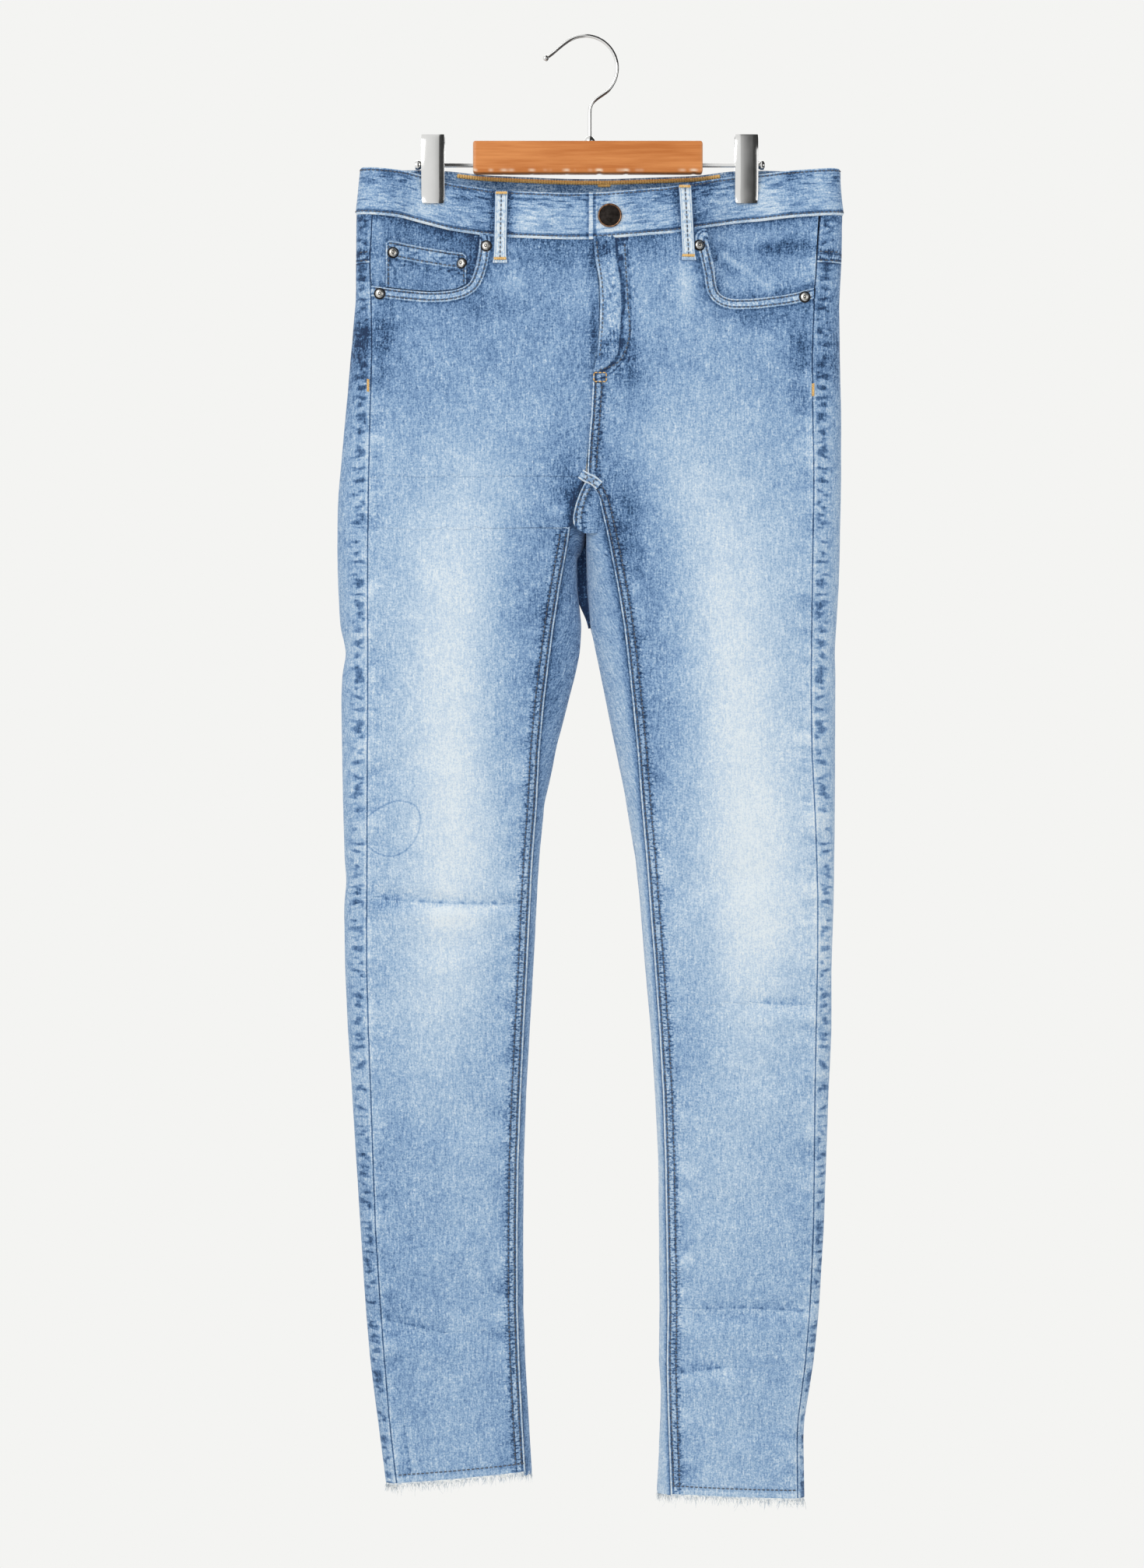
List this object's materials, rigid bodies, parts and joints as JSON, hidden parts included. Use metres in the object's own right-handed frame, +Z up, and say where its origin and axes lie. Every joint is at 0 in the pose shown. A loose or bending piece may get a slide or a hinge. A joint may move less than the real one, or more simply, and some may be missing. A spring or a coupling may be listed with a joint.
{
  "type": "slim fit jeans on a clip hanger",
  "caption": "Faded light blue slim fit jeans with frayed hems, hung by the waistband from a wooden hanger with two sprung clips.",
  "frame": {"origin": "under the top of the hanger's hook, above its stem, where a rail carries it", "axes": "+Z up, +X to the wearer's left, -Y to the front of the jeans"},
  "size_m": [0.3826, 0.0678, 1.1146],
  "materials": {
    "denim": "faded light blue denim, matt, with slubs and paler seams",
    "frayed_cotton": "loose undyed weft threads, matt",
    "button_metal": "antiqued copper rim round a dark face",
    "rivet_metal": "worn nickel plate",
    "varnished_wood": "orange-brown varnish, chipped along the lower edge",
    "polished_steel": "polished chrome plate"
  },
  "bodies": {
    "root": {"front_right": "denim", "front_left": "denim", "pocket_facing_right": "denim", "pocket_facing_left": "denim", "coin_pocket": "denim", "fly": "denim", "yoke_right": "denim", "yoke_left": "denim", "back_right": "denim", "back_left": "denim", "back_pocket_right": "denim", "back_pocket_left": "denim", "waistband": "denim", "belt_loop_front_right": "denim", "belt_loop_front_left": "denim", "belt_loop_back_right": "denim", "belt_loop_back_left": "denim", "belt_loop_back_middle": "denim", "fringe_right": "frayed_cotton", "fringe_left": "frayed_cotton", "button": "button_metal", "rivet_1": "rivet_metal", "rivet_2": "rivet_metal", "rivet_3": "rivet_metal", "rivet_4": "rivet_metal", "rivet_5": "rivet_metal", "rivet_6": "rivet_metal", "hanger_block": "varnished_wood", "hanger_rod_right": "polished_steel", "hanger_rod_left": "polished_steel", "hanger_clip_right_front": "polished_steel", "hanger_clip_right_back": "polished_steel", "hanger_clip_left_front": "polished_steel", "hanger_clip_left_back": "polished_steel", "hanger_hook": "polished_steel", "hanger_hook_tip": "polished_steel", "hanger_collar": "polished_steel"}
  },
  "joints": []
}
